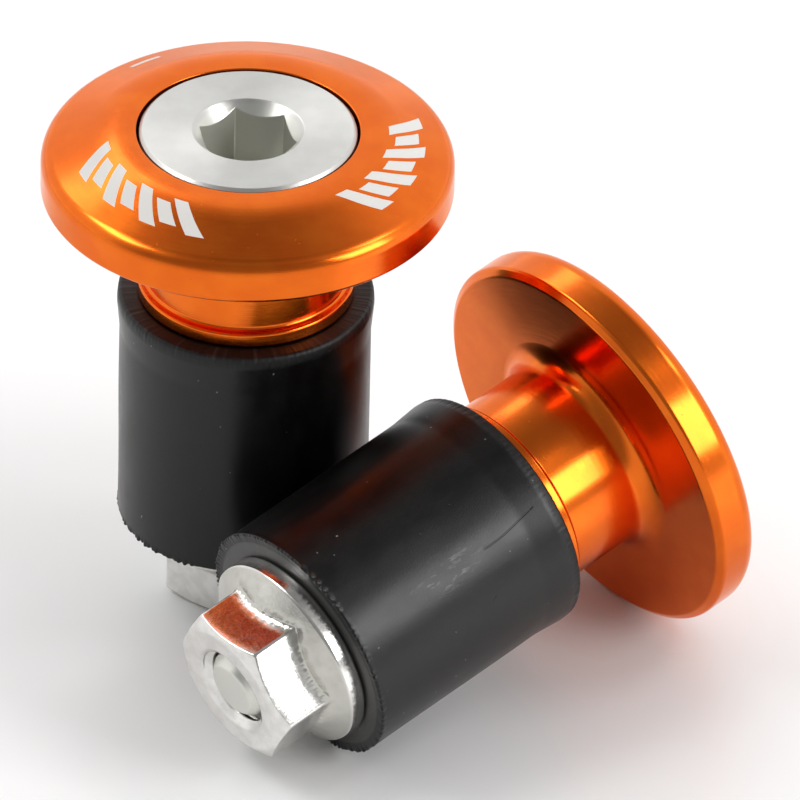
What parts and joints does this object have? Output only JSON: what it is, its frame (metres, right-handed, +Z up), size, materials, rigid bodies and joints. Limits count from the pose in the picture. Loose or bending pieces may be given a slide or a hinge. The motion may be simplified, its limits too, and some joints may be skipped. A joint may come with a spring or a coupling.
{
  "type": "bar end grips",
  "caption": "Pair of expanding handlebar end plugs: flanged anodised cap, countersunk hex screw, rubber bung and flange nut, one upright, one on its side.",
  "frame": {"origin": "centre of the pair's bounding box, on the surface they rest on", "axes": "+Z up along the standing plug's axis, +X to the viewer's right, +Y away from the viewer"},
  "size_m": [0.0496, 0.042, 0.0373],
  "materials": {
    "anodised": "orange anodised, fine turning marks",
    "screw": "satin silver",
    "rubber": "matt black",
    "nut": "bright zinc"
  },
  "bodies": {
    "standing_plug": {"standing_end_cap": "anodised", "standing_rubber_bung": "rubber"},
    "standing_screw": {"standing_cap_screw": "screw"},
    "standing_nut": {"standing_flange_nut": "nut"},
    "lying_plug": {"lying_end_cap": "anodised", "lying_rubber_bung": "rubber"},
    "lying_screw": {"lying_cap_screw": "screw"},
    "lying_nut": {"lying_flange_nut": "nut"}
  },
  "joints": [
    {"name": "standing_screw_turn", "type": "hinge", "parent": "standing_plug", "child": "standing_screw", "pos_m": [-0.01055, 0.00684, 0.03225], "axis": [0, 0, -1], "range_deg": [0, 1080]},
    {"name": "standing_nut_travel", "type": "slide", "parent": "standing_plug", "child": "standing_nut", "axis": [0, 0, 1], "range_m": [0, 0.003], "deforming": ["standing_rubber_bung"]},
    {"name": "lying_plug_move", "type": "slide", "parent": "standing_plug", "child": "lying_plug", "axis": [0.6521, -0.7581, 0], "range_m": [0, 0.04]},
    {"name": "lying_screw_turn", "type": "hinge", "parent": "lying_plug", "child": "lying_screw", "pos_m": [0.01304, 0.0035, 0.01379], "axis": [-0.742, -0.6382, -0.2054], "range_deg": [0, 1080]},
    {"name": "lying_nut_travel", "type": "slide", "parent": "lying_plug", "child": "lying_nut", "axis": [0.742, 0.6382, 0.2054], "range_m": [0, 0.003], "deforming": ["lying_rubber_bung"]}
  ],
  "couplings": [
    {"joint": "standing_nut_travel", "follows": "standing_screw_turn", "m_per_rad": 0.00015915},
    {"joint": "lying_nut_travel", "follows": "lying_screw_turn", "m_per_rad": 0.00015915}
  ]
}
